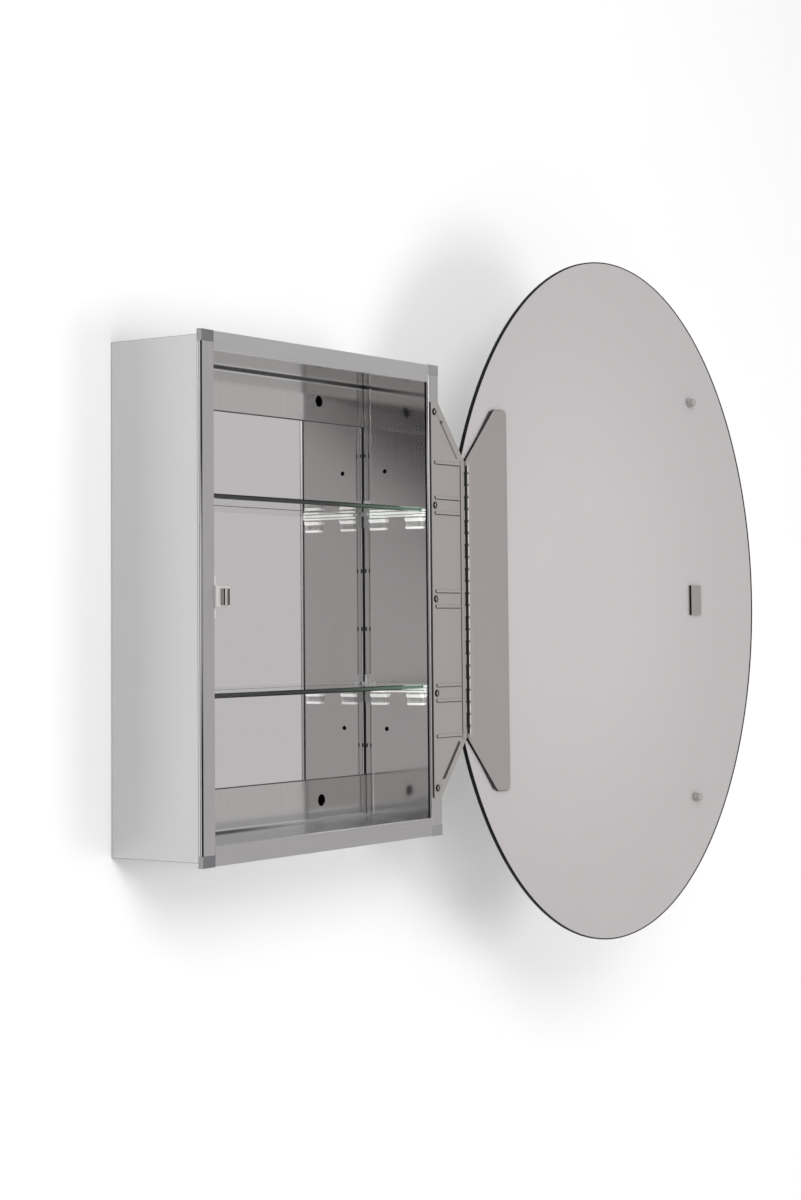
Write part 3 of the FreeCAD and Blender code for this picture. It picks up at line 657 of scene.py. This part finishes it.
def rounded_outline(corners, radius, inset, points=9):
    """Corners of a convex outline, each rounded by an arc about its own centre, drawn in by an inset."""
    ahead = np.roll(corners, -1, axis=0) - corners
    ahead = ahead / np.linalg.norm(ahead, axis=1, keepdims=True)
    normal_next = np.stack([-ahead[:, 1], ahead[:, 0]], axis=1)
    normal_last = np.roll(normal_next, 1, axis=0)
    cosine = np.sum(normal_last * normal_next, axis=1)
    centre = corners + radius * (normal_last + normal_next) / (1.0 + cosine)[:, None]
    start = np.arctan2(-normal_last[:, 1], -normal_last[:, 0])
    angle = start[:, None] + np.arccos(np.clip(cosine, -1.0, 1.0))[:, None] * np.linspace(0.0, 1.0, points)
    arc = np.stack([np.cos(angle), np.sin(angle)], axis=-1)
    return (centre[:, None] + (radius - inset) * arc).reshape(-1, 2)


def door_plate():
    """Pressed plate behind the glass: a six-sided outline carried up a rounded edge, closed by flat faces."""
    far, near, end, half, near_half = 182.0, 251.1, 21.5, 213.0, 153.6
    soft, corner_radius, rounding = 1.4, 5.0, (0.4, 0.8, 1.2, 1.5708)
    lower = [(far, -half), (far + end, -half), (near, -near_half)]
    corners = np.array(lower + [(x, -z) for x, z in reversed(lower)])
    shoulder = PLATE_FACE - soft
    profile = [(0.0, GLASS_BACK), (0.0, shoulder)]
    profile += [(soft * (1.0 - math.cos(turn)), shoulder + soft * math.sin(turn)) for turn in rounding]
    profile += [(2.0 * soft, PLATE_FACE)]
    outlines = [(rounded_outline(corners, corner_radius, inset), depth) for inset, depth in profile]
    rings = np.stack([np.insert(line, 1, depth, axis=1) for line, depth in outlines])
    middle = np.zeros((1, rings.shape[1], 3)) + (0.5 * (far + near), 0.0, 0.0)
    rings = np.concatenate([middle + (0.0, GLASS_BACK, 0.0), rings, middle + (0.0, PLATE_FACE, 0.0)])
    paint = plate_paint("satin_plate_paint", (0.255, 0.233, 0.234))
    # Painted shade: the plate's rounded edge is near black, as if in shadow.
    edge_shade = moulded("plate_edge_painted_shade", (0.008, 0.008, 0.007), 0.5, 0.08)
    add_piece("door_plate_soft", [on_open_door(rings)], "door", "door_plate",
              [paint, edge_shade], bands=[0, 1, 1, 1, 0, 0, 0, 0], flat=(0, 6, 7))


def screw_rings(radius, height, shank, length):
    """Screw about an axis: a dome over the radius, less a cross recess, then the shank.

    The recess is deep where the smaller distance from the cross's arms and the larger one from its middle
    both allow it, with a steep wall between.
    """
    rim_share, deep_share, tip_share = 0.2, 0.5, 0.2
    arm_share, arm_wall_share, reach_share, reach_wall_share = 0.16, 0.10, 0.62, 0.14
    turn = full_turn(64)
    share = np.linspace(0.0, 1.0, 22)[1:, None]
    u = share * np.cos(turn)
    v = share * np.sin(turn)
    dome = rim_share + (1.0 - rim_share) * np.sqrt(1.0 - share ** 2)
    arm = np.clip((arm_share - np.minimum(abs(u), abs(v))) / arm_wall_share + 0.5, 0.0, 1.0)
    reach = np.clip((reach_share - np.maximum(abs(u), abs(v))) / reach_wall_share + 0.5, 0.0, 1.0)
    top = np.stack([radius * u, radius * v, height * (dome - deep_share * arm * reach)], axis=-1)
    lower = np.array([(radius, 0.0), (shank, 0.0), (shank, -length + shank), (tip_share * shank, -length)])
    rest = np.stack([
        lower[:, :1] * np.cos(turn), lower[:, :1] * np.sin(turn), lower[:, 1:] + np.zeros(len(turn)),
    ], axis=-1)
    tip = np.zeros((1, len(turn), 3))
    floor = tip + (0.0, 0.0, (1.0 - deep_share) * height)
    return np.concatenate([floor, top, rest, tip - (0.0, 0.0, length)])


def screws():
    """Domed cross-slot screws of the bracket and of the catch."""
    bracket_x = 193.0
    u, v, w = np.moveaxis(screw_rings(3.8, 2.0, 1.95, 9.5), -1, 0)
    heights = SCREW_PITCH * np.arange(-2.0, 3.0)
    copies = [np.stack([bracket_x + u, BRACKET_FACE - w, z + v], axis=-1) for z in heights]
    add_piece("bracket_screws_domed", copies, "cabinet", "bracket_screws",
              [screw_steel("plated_screw", 1)])
    catch_x, catch_y, catch_z = -181.2, -105.5, 16.5
    u, v, w = np.moveaxis(screw_rings(2.6, 1.6, 1.3, 7.0), -1, 0)
    copies = [np.stack([catch_x + w, catch_y + u, z + v], axis=-1) for z in (-catch_z, catch_z)]
    add_piece("catch_screws_domed", copies, "cabinet", "catch_screws",
              [screw_steel("plated_screw_small", 0)])


def bumpers():
    """Soft bumpers of the door: a profile of radius and height turned about its axis."""
    profile = np.array([
        (4.6, 0.0), (5.3, 0.12), (5.5, 0.5), (5.5, 1.5), (5.25, 2.1), (4.95, 2.7), (4.75, 4.8), (4.6, 6.8),
        (4.3, 7.9), (3.6, 8.7), (2.4, 9.1), (1.2, 9.2),
    ])
    bumper_x, heights = -160.4, (-240.3, 243.7)
    turn = full_turn(48)
    radius, out = profile[:, :1], profile[:, 1:]
    rings = np.stack([radius * np.cos(turn), out + np.zeros(len(turn)), radius * np.sin(turn)], axis=-1)
    middle = np.zeros((1, len(turn), 3))
    rings = np.concatenate([middle, rings, middle + (0.0, profile[-1, 1], 0.0)])
    copies = [on_open_door(rings + (bumper_x, GLASS_BACK, z)) for z in heights]
    rubber = milky("clear_soft_plastic", (0.42, 0.42, 0.405), 0.25)
    add_piece("door_bumpers_round", copies, "door", "door_bumpers", [rubber])


def carried(section, middle, start, length):
    """A section, out from the right wall and down from the shelf, carried along the wall.

    It is drawn in towards its middle at both ends by the sizes given there.
    """
    side_part = 0.2
    along = np.arange(0.0, len(section), side_part)
    closed = np.concatenate([section, section[:1]])
    corners = np.arange(len(closed))
    outline = np.stack([np.interp(along, corners, closed[:, axis]) for axis in (0, 1)], axis=-1)
    size = np.array([0.0, 0.9, 0.97, 1.0, 1.0, 0.97, 0.9, 0.0])[:, None, None]
    place = np.array([0.0, 0.0, 0.4, 1.0, length - 1.0, length - 0.4, length, length])[:, None]
    shape = np.array(middle) + (outline - middle) * size
    return np.stack([INSIDE_X - shape[..., 0], start + place + np.zeros(len(along)), shape[..., 1]], axis=-1)


def shelf_clips():
    """Two wall clips with a gusset and a foot, and the rail on them: carried sections at each shelf end."""
    clip = np.array([
        (0.0, -3.9), (6.1, -3.9), (6.5, -4.3), (6.5, -6.4), (3.4, -11.5), (3.0, -13.0), (4.2, -15.6),
        (4.2, -17.4), (3.8, -17.8), (0.0, -17.8),
    ])
    rail = np.array([(0.0, 0.0), (3.7, 0.0), (4.0, -0.3), (4.0, -3.6), (3.7, -3.9), (0.0, -3.9)])
    clip_middle, rail_middle = (1.8, -11.0), (2.0, -1.95)
    set_of = [
        carried(clip, clip_middle, -103.7, 19.5),
        carried(clip, clip_middle, -55.2, 18.7),
        carried(rail, rail_middle, -106.6, 70.4),
    ]
    plastic = clip_plastic("clear_clip_plastic")
    for node, level in (("shelf_clips_upper", UPPER_SHELF), ("shelf_clips_lower", LOWER_SHELF)):
        copies = [rings * (side, 1.0, 1.0) + (0.0, 0.0, level) for side in (-1.0, 1.0) for rings in set_of]
        add_piece(node + "_gusset", copies, "cabinet", node, [plastic], flat=range(7))


def plane(name, corner, side_a, side_b, material):
    """Flat stage panel: a corner and two sides."""
    corner, side_a, side_b = (np.array(part) for part in (corner, side_a, side_b))
    corners = np.array([corner, corner + side_a, corner + side_a + side_b, corner + side_b])
    mesh = bpy.data.meshes.new(name)
    mesh.from_pydata(corners.tolist(), [], [(0, 1, 2, 3)])
    made = bpy.data.objects.new(name, mesh)
    bpy.context.scene.collection.objects.link(made)
    mesh.materials.append(material)


def one_sided(name, tint, glow):
    """Stage wall that shows only from its front, and lets light through to what lies against it."""
    near_reach, near_reach_mirrored = 0.03, 0.0015
    finish = new_finish(name)
    wall = finish.node("BsdfDiffuse", {}, {"Color": grey(tint)})
    light = finish.node("Emission", {}, {"Color": grey(1.0), "Strength": 1.0})
    lit = finish.blend(glow, wall, light)
    path = finish.node("LightPath").socket.node.outputs
    reach = near_reach - Value(finish, path["Is Glossy Ray"]) * (near_reach - near_reach_mirrored)
    near = Value(finish, path["Ray Length"]) < reach
    behind = finish.node("NewGeometry", {}, {}, "Backfacing")
    return finish.end(finish.blend(near | behind, lit, finish.node("BsdfTransparent")))


def make_stage():
    """White wall behind the cabinet and a pale floor far below it, in metres."""
    left, width, floor_level, depth, height, wall_y = -6.0, 12.0, -2.0, 8.0, 6.0, 0.0006
    wall = one_sided("white_wall", 0.855, 0.04)
    plane("wall", (left, wall_y, floor_level), (width, 0.0, 0.0), (0.0, 0.0, height), wall)
    floor = one_sided("pale_floor", 0.85, 0.0)
    plane("floor", (left, -depth, floor_level), (width, 0.0, 0.0), (0.0, depth, 0.0), floor)


def make_light():
    """Soft room light, dim in one patch above the left front, with a large soft lamp and a fill."""
    world = bpy.data.worlds.new("room")
    bpy.context.scene.world = world
    finish = Finish(world)
    to_left_front, to_left_back = (-0.825, -0.565, 0.0), (-0.565, 0.825, 0.0)
    direction = finish.node("TexCoord", output="Generated")
    height = finish.parts_of(direction)[2]
    slant = height + finish.dot(direction, to_left_back) * 0.8
    left_front = finish.step(finish.dot(direction, to_left_front), 0.70, 0.92)
    patch = left_front * finish.step(slant, 0.047, 0.078) * finish.fall(height, 0.30, 0.50)
    room = 0.55 * (1.0 - left_front * 0.16) * (1.0 - patch * 0.92)
    level = room + finish.step(height, 0.0, 1.0, 0.0, 0.35)
    light = finish.mix(level, grey(0.0), rgb(1.0, 0.985, 0.98))
    finish.end(finish.node("Background", {}, {"Color": light}), "OutputWorld")

    add_lamp("soft_box", (2.2, 1.6), 64.0, (-1.85, -2.6, 1.5))
    fill = add_lamp("fill_box", (1.6, 1.6), 34.0, (1.7, -3.1, -0.45))
    fill.visible_glossy = False


def add_lamp(name, sides, energy, place):
    """Soft rectangular lamp aimed at the middle of the open cabinet."""
    middle = Vector((0.25, -0.1, 0.0))
    lamp = bpy.data.lights.new(name, "AREA")
    lamp.shape = "RECTANGLE"
    lamp.size, lamp.size_y = sides
    lamp.energy = energy
    holder = bpy.data.objects.new(name, lamp)
    bpy.context.scene.collection.objects.link(holder)
    aim = (middle - Vector(place)).to_track_quat("-Z", "Y")
    holder.matrix_world = Matrix.Translation(place) @ aim.to_matrix().to_4x4()
    return holder


def make_camera():
    """Camera of the photograph: its place, its turn and its lens, solved from the cabinet's corners."""
    place = (-1.8992, -1.5021, -0.0315)
    yaw, pitch, roll = (math.radians(angle) for angle in (55.596, 3.522, -0.5054))
    image_height, focal_pixels, middle_row, film = 1200.0, 2319.4, 485.67, 36.0
    ahead = Vector((math.sin(yaw) * math.cos(pitch), math.cos(yaw) * math.cos(pitch), math.sin(pitch)))
    level_right = Vector((math.cos(yaw), -math.sin(yaw), 0.0))
    level_up = level_right.cross(ahead)
    right = math.cos(roll) * level_right + math.sin(roll) * level_up
    up = math.cos(roll) * level_up - math.sin(roll) * level_right
    data = bpy.data.cameras.new("camera")
    data.sensor_fit = "VERTICAL"
    data.sensor_height = film
    data.sensor_width = film
    data.lens = focal_pixels / image_height * film
    data.shift_y = -(0.5 * image_height - middle_row) / image_height
    holder = bpy.data.objects.new("camera", data)
    bpy.context.scene.collection.objects.link(holder)
    turn = Matrix((right, up, -ahead)).transposed().to_4x4()
    holder.matrix_world = Matrix.Translation(place) @ turn
    bpy.context.scene.camera = holder


dress_frame()
oval_door()
door_plate()
screws()
bumpers()
shelf_clips()
make_stage()
make_light()
make_camera()
bpy.context.scene.view_settings.view_transform = "Standard"
